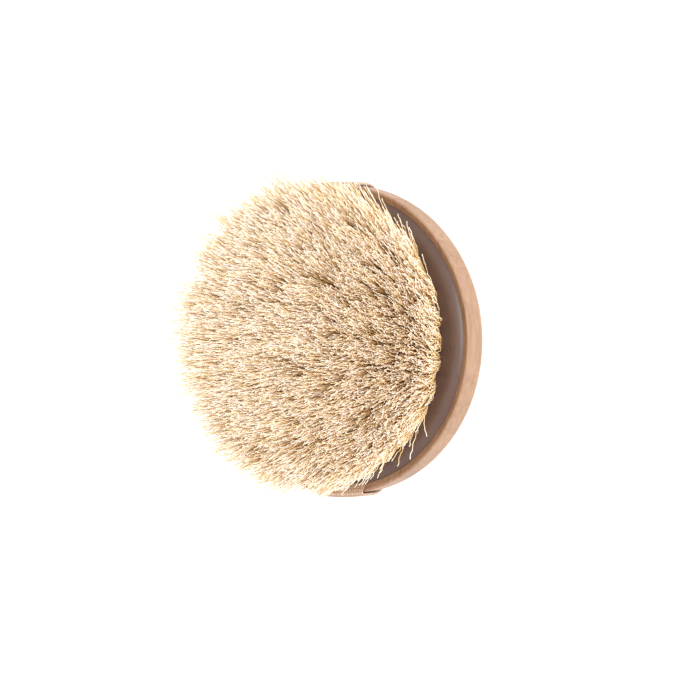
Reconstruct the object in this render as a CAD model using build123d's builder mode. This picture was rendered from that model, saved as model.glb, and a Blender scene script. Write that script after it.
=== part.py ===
"""Round palm body brush for dry brushing: turned bamboo shell, inset bristle plate, drawn
tufts held by flat wire anchors, and a woven hand strap across the back.

The brush lies on its back: +Z points along the bristles, the strap runs along Y, and the
origin is the middle of the strap's resting face.
"""

import os
from math import atan2, cos, radians, tan

from build123d import *

# ---- driving dimensions, millimetres ----

# bamboo shell
body_r = 55.0  # outside radius
body_h = 17.0  # back to crest, on the axis
back_dome = 2.2  # how far the back bulges towards the hand
back_edge_r = 8.0  # rounding between the back and the wall
dish_r = 52.2  # inside radius of the dish that takes the plate
dish_depth = 8.0  # crest to dish floor
lip_drop = 1.9  # crest to the foot of the inner lip slope
crest_r = 0.5  # rounding of the crest

# bristle plate
plate_gap = 0.05  # radial clearance in the dish
plate_face_drop = 0.3  # crest to the plate's face
shoulder_w = 4.2  # radial width of the rounded shoulder
plate_chamfer = 0.6

# tufts
ring_count = 6
outer_ring_r = 41.5  # radius of the outermost ring of holes
ring_turn = 23.0  # each ring starts this much further round than the one inside it, degrees
tip_height = 22.4  # plate face to the trimmed tips
outer_tip_r = 52.0  # radius of the outermost ring's tips, on their centrelines
tuft_r = 2.1  # radius of a tuft in its hole
tuft_tip_r = 3.8  # radius of a tuft at its tips
tuft_straight = 1.3  # straight length above the plate before the tuft spreads
hole_r = 2.15
hole_depth = 5.5

# anchors: one blade of flat wire across each tuft's fold
anchor_w = 5.0
anchor_h = 2.0
anchor_t = 0.4
anchor_lift = 0.9  # fold thickness under the blade

# hand strap
strap_w = 20.0
strap_t = 1.2
strap_clear = 0.05
hand_gap = 22.0  # clear height for the hand, on the axis
strap_slope = 42.0  # rise of the strap's legs, degrees
strap_soft_r = 36.0  # bend where the legs meet the middle
strap_fold_r = 1.0  # tight folds inside the shell
tail_end_y = 36.0  # where the strap's tails end under the plate
tail_recess = 2.1  # depth of the pocket for the tail in the dish floor

# staples through the strap's tails
staple_w = 9.0
staple_wire = 0.6
staple_leg = 4.2
staple_pitch = 5.0
staple_y = 41.0  # the inner staple of each pair

# adhesive ring under the plate
glue_inner_r = 18.0
glue_outer_r = 30.0
glue_t = 0.3

# ---- derived levels and radii ----

back_z = strap_t + hand_gap
crest_z = back_z + body_h
floor_z = crest_z - dish_depth
lip_z = crest_z - lip_drop
face_z = crest_z - plate_face_drop
tip_z = face_z + tip_height

plate_r = dish_r - plate_gap
ring_pitch = outer_ring_r / ring_count
# every tuft's centreline passes through one point on the axis, this far below the face
focus_depth = tip_height * outer_ring_r / (outer_tip_r - outer_ring_r)

strap_mid = strap_t / 2
strap_offset = strap_mid + strap_clear
tail_z = floor_z - tail_recess + strap_offset
pocket_y = dish_r + 0.1  # flat back of the strap's pocket in the wall
tail_y = pocket_y - strap_offset
notch_y = tail_y - strap_mid - 0.25  # flat on the plate's rim behind the strap


# ---- staples, two through each of the strap's tails ----

staple_ys = [staple_y, staple_y + staple_pitch]
staple_places = [(0, side * y) for side in (1, -1) for y in staple_ys]
crown_top = floor_z - strap_clear

with BuildPart() as strap_staples:
    with BuildSketch(Plane.XY.offset(crown_top)):
        with Locations(*staple_places):
            Rectangle(staple_w, staple_wire)
    extrude(amount=-staple_wire)
    with BuildSketch(Plane.XY.offset(crown_top - staple_wire)):
        with Locations(*staple_places):
            with GridLocations(staple_w - staple_wire, 0, 2, 1):
                Rectangle(staple_wire, staple_wire)
    extrude(amount=-staple_leg)


# ---- hand strap ----

# the strap hugs the back edge's rounding, whose centre the dome and the wall fix
dome_r = (body_r**2 + back_dome**2) / (2 * back_dome)
edge_centre_r = body_r - back_edge_r
edge_centre_z = back_z + dome_r - ((dome_r - back_edge_r) ** 2 - edge_centre_r**2) ** 0.5
hug_r = back_edge_r + strap_offset
crest_wrap_r = crest_r + strap_offset

wall_y = body_r + strap_offset
edge_corner_z = edge_centre_z - hug_r * tan(radians(90 - strap_slope) / 2)
middle_y = wall_y - (edge_corner_z - strap_mid) / tan(radians(strap_slope))

lip_rise = lip_drop / (body_r - dish_r)
lip_angle = atan2(lip_drop, body_r - dish_r)
lip_offset_z = lip_z + strap_offset / cos(lip_angle)
fold_z = lip_offset_z + (tail_y - dish_r) * lip_rise
crest_corner_z = lip_offset_z + (wall_y - dish_r) * lip_rise

right_half = [
    (middle_y, strap_mid),
    (wall_y, edge_corner_z),
    (wall_y, crest_corner_z),
    (tail_y, fold_z),
    (tail_y, tail_z),
    (tail_end_y + strap_clear, tail_z),
]
left_half = [(-y, z) for y, z in reversed(right_half)]
half_radii = [strap_soft_r, hug_r, crest_wrap_r, strap_fold_r, strap_fold_r]

with BuildPart() as hand_strap:
    with BuildLine(Plane.YZ) as strap_route:
        FilletPolyline(*left_half, *right_half, radius=half_radii[::-1] + half_radii)
    strap_start = Plane(
        origin=strap_route.line @ 0, x_dir=(1, 0, 0), z_dir=strap_route.line % 0
    )
    with BuildSketch(strap_start):
        Rectangle(strap_w, strap_t)
    sweep(path=strap_route.line)
    add(strap_staples.part, mode=Mode.SUBTRACT)


# ---- bamboo shell ----

with BuildPart() as body_shell:
    with BuildSketch(Plane.XZ) as body_profile:
        with BuildLine() as body_outline:
            back_edge = (body_r, back_z + back_dome)
            dome = ThreePointArc((0, back_z), (body_r / 2, back_z + back_dome / 4), back_edge)
            wall = Line(dome @ 1, (body_r, crest_z))
            slope = Line(wall @ 1, (dish_r, lip_z))
            Polyline(slope @ 1, (dish_r, floor_z), (0, floor_z), (0, back_z))
        make_face()
        crest_corner = body_profile.vertices().group_by(Axis.X)[-1].sort_by(Axis.Y)[-1]
        fillet(crest_corner, radius=crest_r)
        back_corner = body_profile.vertices().group_by(Axis.X)[-1].sort_by(Axis.Y)[0]
        fillet(back_corner, radius=back_edge_r)
    revolve(axis=Axis.Z)
    # pockets that let the strap's tails pass down the wall and lie under the plate
    pocket_w = strap_w + 4 * strap_clear
    pocket_bottom = floor_z - tail_recess
    with BuildSketch(Plane.XY.offset(pocket_bottom)):
        with Locations((0, (pocket_y + tail_end_y) / 2), (0, -(pocket_y + tail_end_y) / 2)):
            Rectangle(pocket_w, pocket_y - tail_end_y + 2 * strap_clear)
    extrude(amount=lip_z - pocket_bottom, mode=Mode.SUBTRACT)
    # channel for the adhesive
    with BuildSketch(Plane.XY.offset(floor_z - glue_t)):
        Circle(glue_outer_r)
        Circle(glue_inner_r, mode=Mode.SUBTRACT)
    extrude(amount=glue_t, mode=Mode.SUBTRACT)
    # the strap beds into the round lip, and the staples' legs stand in the wood
    add(hand_strap.part, mode=Mode.SUBTRACT)
    add(strap_staples.part, mode=Mode.SUBTRACT)


# ---- adhesive ring ----

with BuildPart() as plate_adhesive:
    with BuildSketch(Plane.XY.offset(floor_z - glue_t)):
        Circle(glue_outer_r)
        Circle(glue_inner_r, mode=Mode.SUBTRACT)
    extrude(amount=glue_t)


# ---- tufts, their holes and their anchors ----

on_bottom = (Align.CENTER, Align.CENTER, Align.MIN)


def tuft_plane(ring_r):
    """The plane at a hole's bottom, facing along the tuft, for a hole at this radius."""
    direction = Vector(ring_r, 0, focus_depth).normalized()
    bottom = Vector(ring_r, 0, face_z) - direction * hole_depth
    return Plane(origin=bottom, x_dir=(0, 1, 0), z_dir=direction)


def make_anchor(ring_r):
    """The flat wire blade, across the tuft just above the bristles' fold."""
    with BuildPart(tuft_plane(ring_r)) as anchor:
        with Locations((0, 0, anchor_lift)):
            Box(anchor_w, anchor_t, anchor_h, align=on_bottom)
    return anchor.part


def make_hole(ring_r):
    """The cutter for a blind hole that follows the tuft's own lean."""
    with BuildPart(tuft_plane(ring_r)) as hole:
        Cylinder(hole_r, 2 * hole_depth, align=on_bottom)
        with Locations((0, 0, anchor_lift)):
            Box(anchor_w, anchor_t, anchor_h, align=on_bottom)
    return hole.part


def make_tuft(ring_r):
    """One tuft: straight in its hole, spreading above it, trimmed flat at the tips."""
    spread_from = hole_depth + tuft_straight
    tip_from = hole_depth + tip_height / cos(atan2(ring_r, focus_depth))
    growth = (tuft_tip_r - tuft_r) / (tip_from - spread_from)
    overrun = 4.0  # carried past the tips, so that the trim plane cuts all round
    top = tip_from + overrun
    top_r = tuft_tip_r + overrun * growth
    plane = tuft_plane(ring_r)
    with BuildPart() as tuft:
        with BuildSketch(Plane(plane.origin, x_dir=plane.x_dir, z_dir=plane.y_dir)):
            with BuildLine():
                Polyline(
                    (0, 0), (tuft_r, 0), (tuft_r, -spread_from), (top_r, -top), (0, -top), (0, 0)
                )
            make_face()
        revolve(axis=Axis(plane.origin, plane.z_dir))
        split(bisect_by=Plane.XY.offset(tip_z), keep=Keep.BOTTOM)
        add(make_anchor(ring_r), mode=Mode.SUBTRACT)
    return tuft.part


# each ring's radius, number of tufts and first angle
rings = [(0.0, 1, 0.0)]
rings += [(k * ring_pitch, 6 * k, k * ring_turn) for k in range(1, ring_count + 1)]
holes = [make_hole(ring_r) for ring_r, _, _ in rings]
anchors = [make_anchor(ring_r) for ring_r, _, _ in rings]
tufts = [make_tuft(ring_r) for ring_r, _, _ in rings]

with BuildPart() as tuft_anchors:
    for anchor_part, (_, count, first_angle) in zip(anchors, rings):
        with PolarLocations(0, count, start_angle=first_angle):
            add(anchor_part)

tuft_rings = []
for tuft_part, (_, count, first_angle) in zip(tufts, rings):
    with BuildPart() as tuft_ring:
        with PolarLocations(0, count, start_angle=first_angle):
            add(tuft_part)
    tuft_rings.append(tuft_ring.part)


# ---- bristle plate ----

with BuildPart() as bristle_plate:
    with BuildSketch(Plane.XZ):
        with BuildLine():
            shoulder_start = (plate_r - shoulder_w, face_z)
            face = Line((0, face_z), shoulder_start)
            shoulder = TangentArc(shoulder_start, (plate_r, lip_z), tangent=(1, 0))
            Polyline(
                shoulder @ 1,
                (plate_r, floor_z + plate_chamfer),
                (plate_r - plate_chamfer, floor_z),
                (0, floor_z),
                face @ 0,
            )
        make_face()
    revolve(axis=Axis.Z)
    # flats behind the strap's tails
    flat_depth = plate_r - notch_y + 1.0
    with BuildSketch(Plane.XY.offset(floor_z)):
        with Locations((0, notch_y + flat_depth / 2), (0, -notch_y - flat_depth / 2)):
            Rectangle(strap_w + 8 * strap_clear, flat_depth)
    extrude(amount=dish_depth, mode=Mode.SUBTRACT)
    for hole_part, (_, count, first_angle) in zip(holes, rings):
        with PolarLocations(0, count, start_angle=first_angle):
            add(hole_part, mode=Mode.SUBTRACT)


# ---- write the pieces ----

pieces = {
    "body_shell": body_shell.part,
    "bristle_plate": bristle_plate.part,
    "plate_adhesive": plate_adhesive.part,
    "hand_strap": hand_strap.part,
    "strap_staples": strap_staples.part,
    "tuft_anchors": tuft_anchors.part,
    "tuft_centre": tuft_rings[0],
}
for k in range(1, ring_count + 1):
    pieces[f"tuft_ring_{k}"] = tuft_rings[k]

os.makedirs("parts", exist_ok=True)
for name, piece in pieces.items():
    piece.label = name
    export_step(piece, f"parts/{name}.step")
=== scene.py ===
"""Round palm body brush for dry brushing, lying on its back: a bamboo shell, an inset bristle
plate, flared plant-fibre tufts and a woven hand strap. Metres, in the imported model's frame."""

import math

import bmesh
import bpy
import numpy as np
from mathutils import Matrix, Vector


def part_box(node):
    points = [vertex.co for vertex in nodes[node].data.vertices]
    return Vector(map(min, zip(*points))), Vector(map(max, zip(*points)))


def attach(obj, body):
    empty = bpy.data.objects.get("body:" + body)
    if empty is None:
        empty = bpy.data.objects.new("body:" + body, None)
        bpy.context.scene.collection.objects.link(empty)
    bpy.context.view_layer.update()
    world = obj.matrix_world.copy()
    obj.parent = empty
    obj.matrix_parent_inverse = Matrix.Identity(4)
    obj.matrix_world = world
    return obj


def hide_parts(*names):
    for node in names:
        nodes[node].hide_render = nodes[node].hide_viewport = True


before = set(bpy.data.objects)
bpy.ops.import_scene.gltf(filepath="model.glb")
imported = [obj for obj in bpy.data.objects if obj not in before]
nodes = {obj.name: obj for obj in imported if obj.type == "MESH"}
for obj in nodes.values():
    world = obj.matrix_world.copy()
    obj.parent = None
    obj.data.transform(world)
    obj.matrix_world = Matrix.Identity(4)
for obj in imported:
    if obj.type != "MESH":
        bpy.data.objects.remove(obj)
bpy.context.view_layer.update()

mm = 0.001
shell_lo, shell_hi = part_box("body_shell")
plate_lo, plate_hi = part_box("bristle_plate")


# ---- camera ----
# A long lens looks down on the bristles, 34.5 degrees off the brush's axis. It is rolled so
# that the strap's direction runs up the picture and the bristles point to the left.

view_tilt = math.radians(34.5)
view_roll = math.radians(-1.3)
view_distance = 1.1
view_width = 0.2417
aim = Vector((0, 0, shell_hi.z - 1.4 * mm))

to_camera = Vector((math.sin(view_tilt), 0, math.cos(view_tilt)))
picture_right = Vector((math.cos(view_tilt), 0, -math.sin(view_tilt)))
camera_data = bpy.data.cameras.new("camera")
camera_data.sensor_width = 36
camera_data.lens = 36 * view_distance / view_width
camera = bpy.data.objects.new("camera", camera_data)
bpy.context.scene.collection.objects.link(camera)
camera.matrix_world = (
    Matrix.Translation(aim + to_camera * view_distance)
    @ Matrix((picture_right, Vector((0, 1, 0)), to_camera)).transposed().to_4x4()
    @ Matrix.Rotation(view_roll, 4, "Z")
)
bpy.context.scene.camera = camera


# ---- studio ----
# A white table under three soft lights: one overhead, one at each side. The room is bright all
# round, so that shadows stay faint and the table stays white.

bpy.context.scene.view_settings.view_transform = "Standard"

world = bpy.data.worlds.new("room")
bpy.context.scene.world = world
world.use_nodes = True
world.node_tree.nodes["Background"].inputs["Color"].default_value = (1, 1, 1, 1)
world.node_tree.nodes["Background"].inputs["Strength"].default_value = 0.95


def soft_light(name, place, target, side, power):
    """A square area light of this side, turned to face the target."""
    data = bpy.data.lights.new(name, "AREA")
    data.shape = "SQUARE"
    data.size = side
    data.energy = power
    light = bpy.data.objects.new(name, data)
    light.location = place
    light.rotation_mode = "QUATERNION"
    light.rotation_quaternion = (Vector(place) - Vector(target)).to_track_quat("Z", "Y")
    bpy.context.scene.collection.objects.link(light)


soft_light("key", (-0.1, 0.0, 0.98), (0, 0, 0.04), 0.6, 5.7)
soft_light("side", (0.85, 0.1, 0.68), (0, 0, 0.04), 0.6, 7.4)
soft_light("far_side", (-0.9, 0.1, 0.5), (0, 0, 0.04), 0.8, 0.8)
bpy.context.scene.cycles.diffuse_bounces = 10

floor_mesh = bpy.data.meshes.new("floor")
bm = bmesh.new()
bmesh.ops.create_grid(bm, x_segments=1, y_segments=1, size=4.0)
bm.to_mesh(floor_mesh)
bm.free()
floor = bpy.data.objects.new("floor", floor_mesh)
bpy.context.scene.collection.objects.link(floor)

floor_paint = bpy.data.materials.new("table_white")
floor_paint.use_nodes = True
floor_shader = floor_paint.node_tree.nodes["Principled BSDF"]
floor_shader.inputs["Base Color"].default_value = (0.92, 0.92, 0.92, 1)
floor_shader.inputs["Roughness"].default_value = 0.9
floor_shader.inputs["Emission Color"].default_value = (1, 1, 1, 1)
floor_shader.inputs["Emission Strength"].default_value = 0.45
floor.data.materials.append(floor_paint)


# ---- bamboo shell ----
# Turned from a board of glued bamboo strips, sanded and clear-coated. The strips run along
# the strap; their ends show at the two strap sides as dots, and elsewhere as fine streaks.

strip_width = 6.2 * mm


def new_material(name):
    """An empty material with its Principled shader, and a function that adds nodes to it."""
    material = bpy.data.materials.new(name)
    material.use_nodes = True
    tree = material.node_tree
    shader = tree.nodes["Principled BSDF"]

    def node(kind, **settings):
        made = tree.nodes.new(kind)
        for key, value in settings.items():
            setattr(made, key, value)
        return made

    return material, shader, node, tree.links.new


def set_material(piece, material):
    """Gives the piece this one material."""
    piece.data.materials.clear()
    piece.data.materials.append(material)


def noise(node, link, source, size, detail=3.0, rough=0.55):
    """A noise whose features are size long along X, Y and Z, as a 0 to 1 value."""
    mapping = node("ShaderNodeMapping")
    mapping.inputs["Scale"].default_value = [1 / s for s in size]
    texture = node("ShaderNodeTexNoise")
    texture.inputs["Scale"].default_value = 1.0
    texture.inputs["Detail"].default_value = detail
    texture.inputs["Roughness"].default_value = rough
    link(source, mapping.inputs["Vector"])
    link(mapping.outputs["Vector"], texture.inputs["Vector"])
    return texture.outputs["Fac"]


def ramp(node, link, value, *stops):
    """A colour ramp through stops of (position, colour)."""
    made = node("ShaderNodeValToRGB")
    ends = made.color_ramp.elements
    ends[0].position, ends[0].color = stops[0][0], (*stops[0][1], 1)
    ends[1].position, ends[1].color = stops[-1][0], (*stops[-1][1], 1)
    for position, colour in stops[1:-1]:
        ends.new(position).color = (*colour, 1)
    link(value, made.inputs["Fac"])
    return made.outputs["Color"]


def mixed(node, link, factor, first, second, kind="MIX"):
    """Two colours mixed by a factor, each a socket or a plain value."""
    made = node("ShaderNodeMix", data_type="RGBA", blend_type=kind)
    for socket, given in zip((made.inputs[0], made.inputs[6], made.inputs[7]), (factor, first, second)):
        if isinstance(given, bpy.types.NodeSocket):
            link(given, socket)
        else:
            socket.default_value = given if isinstance(given, float) else (*given, 1)
    return made.outputs[2]


def bumped(node, link, shader, height, strength, distance):
    """Raises the shader's surface by a height value."""
    bump = node("ShaderNodeBump")
    bump.inputs["Strength"].default_value = strength
    bump.inputs["Distance"].default_value = distance
    link(height, bump.inputs["Height"])
    link(bump.outputs["Normal"], shader.inputs["Normal"])


bamboo, shader, node, link = new_material("bamboo")
place = node("ShaderNodeTexCoord").outputs["Object"]
axes = node("ShaderNodeSeparateXYZ")
link(place, axes.inputs["Vector"])
strips = node("ShaderNodeMath", operation="DIVIDE")
strips.inputs[1].default_value = strip_width
link(axes.outputs["X"], strips.inputs[0])
strip_number = node("ShaderNodeMath", operation="FLOOR")
link(strips.outputs[0], strip_number.inputs[0])
strip_tone = node("ShaderNodeTexWhiteNoise", noise_dimensions="1D")
link(strip_number.outputs[0], strip_tone.inputs["W"])
across_strip = node("ShaderNodeMath", operation="FRACT")
link(strips.outputs[0], across_strip.inputs[0])
seam = ramp(
    node, link, across_strip.outputs[0],
    (0.0, (0.92, 0.88, 0.84)),
    (0.03, (1, 1, 1)),
    (0.97, (1, 1, 1)),
    (1.0, (0.92, 0.88, 0.84)),
)
streaks = noise(node, link, place, (0.9 * mm, 22 * mm, 2.2 * mm), detail=4.0, rough=0.7)
broad = noise(node, link, place, (4 * mm, 45 * mm, 5 * mm), detail=2.0)
flesh = ramp(
    node, link, streaks,
    (0.36, (0.220, 0.124, 0.066)),
    (0.46, (0.290, 0.170, 0.096)),
    (0.54, (0.327, 0.198, 0.115)),
    (0.64, (0.385, 0.252, 0.158)),
)
toned = mixed(node, link, 0.4, flesh, ramp(
    node, link, strip_tone.outputs["Value"],
    (0.0, (0.255, 0.142, 0.080)),
    (1.0, (0.405, 0.252, 0.158)),
))
pink_share = ramp(node, link, broad, (0.42, (0, 0, 0)), (0.70, (0.5, 0.5, 0.5)))
blushed = mixed(node, link, pink_share, toned, (0.375, 0.205, 0.140))
link(mixed(node, link, 1.0, blushed, seam, "MULTIPLY"), shader.inputs["Base Color"])
shader.inputs["Roughness"].default_value = 0.55
shader.inputs["Specular IOR Level"].default_value = 0.28
bumped(node, link, shader, streaks, 0.3, 0.08 * mm)
set_material(nodes["body_shell"], bamboo)


# ---- bristle plate ----
# Moulded taupe-brown plastic, pressed into the shell's dish. Its shoulder is rounded and its
# face has the faint orange-peel of the mould.

plate_plastic, shader, node, link = new_material("plate_plastic")
place = node("ShaderNodeTexCoord").outputs["Object"]
peel = noise(node, link, place, (0.8 * mm,) * 3, detail=2.0)
cloud = noise(node, link, place, (14 * mm,) * 3, detail=3.0)
link(
    ramp(node, link, cloud, (0.3, (0.100, 0.057, 0.044)), (0.7, (0.123, 0.073, 0.057))),
    shader.inputs["Base Color"],
)
shader.inputs["Roughness"].default_value = 0.36
bumped(node, link, shader, peel, 0.12, 0.05 * mm)
set_material(nodes["bristle_plate"], plate_plastic)


# ---- wire and adhesive ----
# Under the plate and in its holes: a flat galvanised wire blade holds each tuft's fold, two
# staples pin each tail of the strap, and a ring of pale adhesive holds the plate.

wire, shader, node, link = new_material("galvanised_wire")
place = node("ShaderNodeTexCoord").outputs["Object"]
spangle = noise(node, link, place, (0.5 * mm, 0.5 * mm, 0.5 * mm), detail=2.0)
link(
    ramp(node, link, spangle, (0.3, (0.50, 0.50, 0.49)), (0.7, (0.66, 0.66, 0.65))),
    shader.inputs["Base Color"],
)
shader.inputs["Metallic"].default_value = 1.0
shader.inputs["Roughness"].default_value = 0.35
set_material(nodes["tuft_anchors"], wire)
set_material(nodes["strap_staples"], wire)

glue, shader, node, link = new_material("adhesive")
place = node("ShaderNodeTexCoord").outputs["Object"]
lumps = noise(node, link, place, (2 * mm,) * 3)
link(
    ramp(node, link, lumps, (0.3, (0.62, 0.52, 0.32)), (0.7, (0.78, 0.70, 0.50))),
    shader.inputs["Base Color"],
)
shader.inputs["Roughness"].default_value = 0.5
bumped(node, link, shader, lumps, 0.3, 0.1 * mm)
set_material(nodes["plate_adhesive"], glue)


# ---- hand strap ----
# Tan cotton webbing, 20 mm wide, in a plain weave of stout yarns. It lies pulled tight over the
# shell's wall and lip, and each tail goes down beside the plate and under it, where two staples
# pin it.

strap_w = 20.0 * mm
strap_t = 1.2 * mm
yarn_pitch = 1.05 * mm
yarn_relief = 0.12 * mm
selvedge_r = 0.8 * mm
strap_grain = 0.34 * mm  # spacing of the mesh
strap_hug = 0.75  # share of the wall's curve that the strap's sides follow
strap_slope = math.radians(42)
wall_y = shell_hi.y + strap_t / 2 + 0.05 * mm
tail_y = 51.65 * mm
tail_end_y = 36.05 * mm
tail_z = 30.75 * mm
leg_top_z = 28.97 * mm  # where the leg's line would meet the wall's
lip_top_z = 41.43 * mm
lip_foot_z = 38.71 * mm
middle_y = wall_y - (leg_top_z - strap_t / 2) / math.tan(strap_slope)
half_route = [
    (middle_y, strap_t / 2 + 0.05 * mm),
    (wall_y, leg_top_z),
    (wall_y, lip_top_z),
    (tail_y, lip_foot_z),
    (tail_y, tail_z),
    (tail_end_y, tail_z),
]
half_bends = [36.0 * mm, 8.65 * mm, 1.15 * mm, 1.0 * mm, 1.0 * mm]


def rounded_route(corners, radii):
    """Points along straight runs whose corners are rounded by these radii, and the distance
    travelled to each point."""
    corners = np.array(corners)
    points = [corners[:1]]
    for before, corner, after, radius in zip(corners, corners[1:], corners[2:], radii):
        into = (corner - before) / np.linalg.norm(corner - before)
        out = (after - corner) / np.linalg.norm(after - corner)
        turn = math.acos(into @ out)
        first = -into * radius * math.tan(turn / 2)
        inward = (out - into) / np.linalg.norm(out - into) * radius / math.cos(turn / 2)
        swept = np.linspace(0, turn, 24)[:, None]
        spoke = first - inward
        points.append(corner + inward + spoke * np.cos(swept) + into * radius * np.sin(swept))
    points = np.concatenate(points + [corners[-1:]])
    steps = np.linalg.norm(np.diff(points, axis=0), axis=1)
    return points, np.concatenate([[0], np.cumsum(steps)])


route, travel = rounded_route(
    [(-y, z) for y, z in reversed(half_route)] + half_route, half_bends[::-1] + half_bends
)
strap_length = travel[-1]

bm = bmesh.new()
bmesh.ops.create_grid(
    bm, x_segments=round(strap_w / strap_grain), y_segments=round(strap_length / strap_grain), size=0.5
)
bmesh.ops.scale(bm, vec=(strap_w, strap_length, 1), verts=bm.verts)
bmesh.ops.solidify(bm, geom=bm.faces[:], thickness=strap_t)
strap_mesh = bpy.data.meshes.new("strap_webbing")
bm.to_mesh(strap_mesh)
bm.free()

flat = np.empty(3 * len(strap_mesh.vertices))
strap_mesh.vertices.foreach_get("co", flat)
flat = flat.reshape(-1, 3)
across, along = flat[:, 0], flat[:, 1] + strap_length / 2
face_side = np.where(np.abs(flat[:, 2]) < strap_t / 2, 1.0, -1.0)
to_edge = np.maximum(np.abs(across) - (strap_w / 2 - selvedge_r), 0) / selvedge_r
half_thick = strap_t / 2 * np.sqrt(np.maximum(1 - to_edge**2, 0))
yarn_top = np.abs(np.sin(math.pi * across / yarn_pitch) * np.sin(math.pi * along / yarn_pitch))
proud = face_side * (half_thick + yarn_relief * (yarn_top - 0.6) * (1 - to_edge))
heading = np.diff(route, axis=0) / np.diff(travel)[:, None]
middles = (travel[1:] + travel[:-1]) / 2
outward = np.stack([np.interp(along, middles, heading[:, k]) for k in (1, 0)], 1) * (1, -1)
outward /= np.linalg.norm(outward, axis=1)[:, None]
placed = np.stack([np.interp(along, travel, route[:, k]) for k in (0, 1)], 1) + outward * proud[:, None]
# the sides of the webbing bend back a little round the shell's wall
on_wall = np.clip((np.abs(placed[:, 0]) - tail_y) / (wall_y - tail_y), 0, 1)
fall = shell_hi.y - np.sqrt(shell_hi.y**2 - across**2)
placed[:, 0] -= np.sign(placed[:, 0]) * strap_hug * fall * on_wall
strap_mesh.vertices.foreach_set("co", np.column_stack([across, placed]).ravel())

corner_vertex = np.empty(len(strap_mesh.loops), dtype=int)
strap_mesh.loops.foreach_get("vertex_index", corner_vertex)
weave_place = np.stack([across, along], 1)[corner_vertex] / yarn_pitch
strap_mesh.uv_layers.new(name="weave").data.foreach_set("uv", weave_place.ravel())
bm = bmesh.new()
bm.from_mesh(strap_mesh)
bmesh.ops.remove_doubles(bm, verts=bm.verts, dist=0.001 * mm)
bmesh.ops.recalc_face_normals(bm, faces=bm.faces)
for face in bm.faces:
    face.smooth = True
bm.to_mesh(strap_mesh)
bm.free()
strap = bpy.data.objects.new("strap_webbing", strap_mesh)
bpy.context.scene.collection.objects.link(strap)

webbing, shader, node, link = new_material("strap_webbing")
weave = node("ShaderNodeUVMap", uv_map="weave").outputs["UV"]
axes = node("ShaderNodeSeparateXYZ")
link(weave, axes.inputs["Vector"])
waves = []
for axis in "XY":
    turned = node("ShaderNodeMath", operation="MULTIPLY")
    turned.inputs[1].default_value = math.pi
    link(axes.outputs[axis], turned.inputs[0])
    wave = node("ShaderNodeMath", operation="SINE")
    link(turned.outputs[0], wave.inputs[0])
    waves.append(wave.outputs[0])
crossing = node("ShaderNodeMath", operation="MULTIPLY")
link(waves[0], crossing.inputs[0])
link(waves[1], crossing.inputs[1])
over_under = node("ShaderNodeMapRange")
over_under.inputs["From Min"].default_value = -1.0
link(crossing.outputs[0], over_under.inputs["Value"])
fuzz = noise(node, link, weave, (0.5, 0.16, 1.0), detail=3.0)
patchy = noise(node, link, weave, (5.0, 9.0, 1.0), detail=2.0)
# The yarn colour is painted dark where the yarns dip between crossings and light on the yarn tops:
# painted shade in the gaps between yarns and a painted highlight on the tops.
yarn_with_painted_light = ramp(
    node, link, over_under.outputs["Result"],
    (0.0, (0.66, 0.47, 0.34)),
    (0.42, (0.44, 0.28, 0.19)),
    (0.58, (0.40, 0.25, 0.17)),
    (1.0, (0.82, 0.61, 0.47)),
)
fuzz_shade = ramp(node, link, fuzz, (0.3, (0.78, 0.76, 0.74)), (0.7, (1, 1, 1)))
patch_shade = ramp(node, link, patchy, (0.3, (0.9, 0.88, 0.86)), (0.7, (1, 1, 1)))
uneven = mixed(node, link, 1.0, yarn_with_painted_light, fuzz_shade, "MULTIPLY")
link(mixed(node, link, 1.0, uneven, patch_shade, "MULTIPLY"), shader.inputs["Base Color"])
shader.inputs["Roughness"].default_value = 0.8
shader.inputs["Sheen Weight"].default_value = 0.2
bumped(node, link, shader, fuzz, 0.4, 0.08 * mm)
set_material(strap, webbing)
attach(strap, "root")
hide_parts("hand_strap")


# ---- tufts ----
# Cream plant fibre, folded over its anchor in each hole, six rings of tufts around one. The
# fibres leave the hole close together, flare outwards, end at uneven heights and crinkle.

ring_count = 6
ring_turn = math.radians(23)
outer_ring_r = 41.5 * mm
outer_tip_r = 51.8 * mm
face_z = plate_hi.z
tip_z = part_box("tuft_centre")[1].z
hole_r = 2.05 * mm
tuft_reach = np.array([4.9, 5.2]) * mm  # half the room that the tuft opens to fill
fibres_per_tuft = 165
fibre_r = 0.175 * mm
locks_per_tuft = 22
lock_pull = 0.4
uneven_lock = 1.0 * mm
uneven_fibre = 5.0 * mm
overlong = 4.4 * mm  # the longest fibre stands this far past the trim
root_depth = 1.5 * mm  # the fibres start this deep in their hole
tuft_bend = 0.8 * mm
lock_bend = 0.8 * mm
fibre_bend = 0.8 * mm
stray_share = 0.08
stray_bend = 2.8 * mm
stray_limit = 4.5 * mm
lock_kink = 0.12 * mm
fibre_kink = 0.10 * mm
worn_lean = (-0.6 * mm, 1.5 * mm)  # use has combed the tips this way
fibre_sides = 3
tufts_per_piece = 12

fibre_hair, shader, node, link = new_material("bristle_fibre")
fibre_facts = node("ShaderNodeAttribute", attribute_name="fibre")
parts = node("ShaderNodeSeparateColor")
link(fibre_facts.outputs["Color"], parts.inputs["Color"])
hue = ramp(
    node, link, parts.outputs["Red"],
    (0.0, (0.94, 0.74, 0.44)),
    (0.2, (0.98, 0.85, 0.64)),
    (1.0, (0.99, 0.91, 0.85)),
)
# Along each fibre the colour is painted darker and more golden towards the root: painted shade deep in
# the bristle mass, with the tips left unchanged.
root_painted_shade = ramp(
    node, link, parts.outputs["Green"],
    (0.0, (0.84, 0.64, 0.36)),
    (0.6, (0.97, 0.85, 0.60)),
    (0.95, (1, 1, 1)),
)
link(mixed(node, link, 1.0, hue, root_painted_shade, "MULTIPLY"), shader.inputs["Base Color"])
shader.inputs["Roughness"].default_value = 0.45
shader.inputs["Specular IOR Level"].default_value = 0.3

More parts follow.
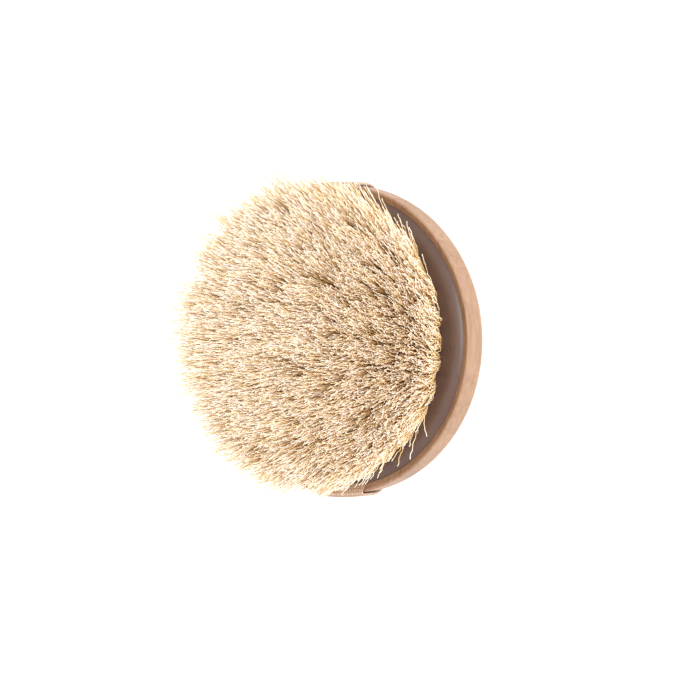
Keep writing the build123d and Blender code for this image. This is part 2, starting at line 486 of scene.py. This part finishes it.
section = bpy.data.curves.new("fibre_section", "CURVE")
spline = section.splines.new("POLY")
spline.points.add(fibre_sides - 1)
spline.use_cyclic_u = True
for k, point in enumerate(spline.points):
    turn = 2 * math.pi * k / fibre_sides
    point.co = (fibre_r * math.cos(turn), fibre_r * math.sin(turn), 0, 1)
section = bpy.data.objects.new("fibre_section", section)
bpy.context.scene.collection.objects.link(section)


def spots_in_disc(rng, count):
    """Random places in a disc of radius 1."""
    turn = rng.random(count) * 2 * math.pi
    return np.stack([np.cos(turn), np.sin(turn)], 1) * np.sqrt(rng.random((count, 1)))


def tuft_fibres(rng, ring_r, angle, along):
    """Points of one tuft's fibres, an array of fibre, point and XYZ. The tuft opens low down
    until it meets its neighbours, and above that all fibres follow the brush's common flare.
    They gather in locks that share a crinkle and roughly a length."""
    count = fibres_per_tuft
    lock = rng.integers(0, locks_per_tuft, count)
    start = spots_in_disc(rng, count)
    distance = np.linalg.norm(start, axis=1)[:, None]
    spread = start * distance / np.abs(start).max(1)[:, None]
    spread += (spots_in_disc(rng, locks_per_tuft)[lock] - spread) * lock_pull
    full = tip_z - face_z
    short = rng.exponential(uneven_lock, locks_per_tuft)[lock] + rng.exponential(uneven_fibre, count)
    height = full + overlong - np.minimum(short, 0.6 * full)
    rise = along[None] * height[:, None]
    s = (rise / full)[..., None]
    opened = 1 - (1 - s).clip(0) ** 3
    off_axis = start[:, None] * hole_r * (1 - opened) + spread[:, None] * tuft_reach * opened
    flare = outer_tip_r / outer_ring_r - 1
    flat = (np.array([ring_r, 0.0]) + off_axis) * (1 + flare * s)
    bend = rng.normal(0, tuft_bend, 2) + rng.normal(0, lock_bend, (locks_per_tuft, 2))[lock]
    bend += rng.normal(0, fibre_bend, (count, 2))
    stray = rng.random((count, 1)) < stray_share
    bend += stray * rng.normal(0, stray_bend, (count, 2)).clip(-stray_limit, stray_limit)
    flat += bend[:, None] * s**2
    kinks = rng.normal(0, lock_kink, (locks_per_tuft, len(along), 2))[lock]
    kinks += rng.normal(0, fibre_kink, (count, len(along), 2))
    flat += kinks * np.minimum(1, 4 * along)[None, :, None]
    c, d = math.cos(angle), math.sin(angle)
    turned = np.stack([flat[..., 0] * c - flat[..., 1] * d, flat[..., 0] * d + flat[..., 1] * c], -1)
    turned += np.array(worn_lean) * s**1.5
    z = face_z - (1 - along[None]) * root_depth + rise
    return np.concatenate([turned, z[..., None]], -1)


def fibre_piece(name, points, seed):
    """One mesh of closed tubes along the fibres' points. Its "fibre" attribute holds each
    fibre's own tone, and how far along the fibre a place is."""
    curve = bpy.data.curves.new(name, "CURVE")
    curve.dimensions = "3D"
    curve.bevel_mode = "OBJECT"
    curve.bevel_object = section
    curve.use_fill_caps = True
    fibres, steps, _ = points.shape
    rows = np.concatenate([points, np.ones((fibres, steps, 1))], -1)
    thickness = np.linspace(1.05, 0.8, steps)
    for row in rows:
        spline = curve.splines.new("POLY")
        spline.points.add(steps - 1)
        spline.points.foreach_set("co", row.ravel())
        spline.points.foreach_set("radius", thickness)
    carrier = bpy.data.objects.new(name, curve)
    bpy.context.scene.collection.objects.link(carrier)
    graph = bpy.context.evaluated_depsgraph_get()
    mesh = bpy.data.meshes.new_from_object(carrier.evaluated_get(graph))
    bpy.data.objects.remove(carrier)
    bpy.data.curves.remove(curve)
    # the caps come first, the last fibre's before the others', and then the tubes in order
    tone = np.random.default_rng(seed).random(fibres)
    tones = np.concatenate([
        np.repeat(tone[::-1], 2 * fibre_sides), np.repeat(tone, steps * fibre_sides)
    ])
    places = np.concatenate([
        np.tile(np.repeat([1.0, 0.0], fibre_sides), fibres),
        np.tile(np.repeat(np.linspace(0, 1, steps), fibre_sides), fibres),
    ])
    facts = np.stack([tones, places, 0 * tones, 0 * tones + 1], -1)
    mesh.attributes.new("fibre", "FLOAT_COLOR", "POINT").data.foreach_set("color", facts.ravel())
    bm = bmesh.new()
    bm.from_mesh(mesh)
    bmesh.ops.remove_doubles(bm, verts=bm.verts, dist=0.0001 * mm)
    bmesh.ops.recalc_face_normals(bm, faces=bm.faces)
    for face in bm.faces:
        face.smooth = True
    bm.to_mesh(mesh)
    bm.free()
    piece = bpy.data.objects.new(name, mesh)
    bpy.context.scene.collection.objects.link(piece)
    set_material(piece, fibre_hair)
    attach(piece, "root")
    return piece


inner_steps = np.concatenate([[0, 0.2], np.linspace(0.35, 1, 13)])
outer_steps = np.linspace(0, 1, 14)

rng = np.random.default_rng(20)
for ring in range(ring_count + 1):
    tufts = max(1, 6 * ring)
    steps = outer_steps if ring == ring_count else inner_steps
    angles = [ring * ring_turn + 2 * math.pi * k / tufts for k in range(tufts)]
    all_tufts = [tuft_fibres(rng, ring * outer_ring_r / ring_count, a, steps) for a in angles]
    for first in range(0, tufts, tufts_per_piece):
        letter = "abc"[first // tufts_per_piece]
        node_name = f"tuft_ring_{ring}" if ring else "tuft_centre"
        points = np.concatenate(all_tufts[first:first + tufts_per_piece])
        fibres = fibre_piece(f"fibres_{ring}{letter}", points, seed=100 * ring + first)
        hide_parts(node_name)
bpy.data.objects.remove(section)
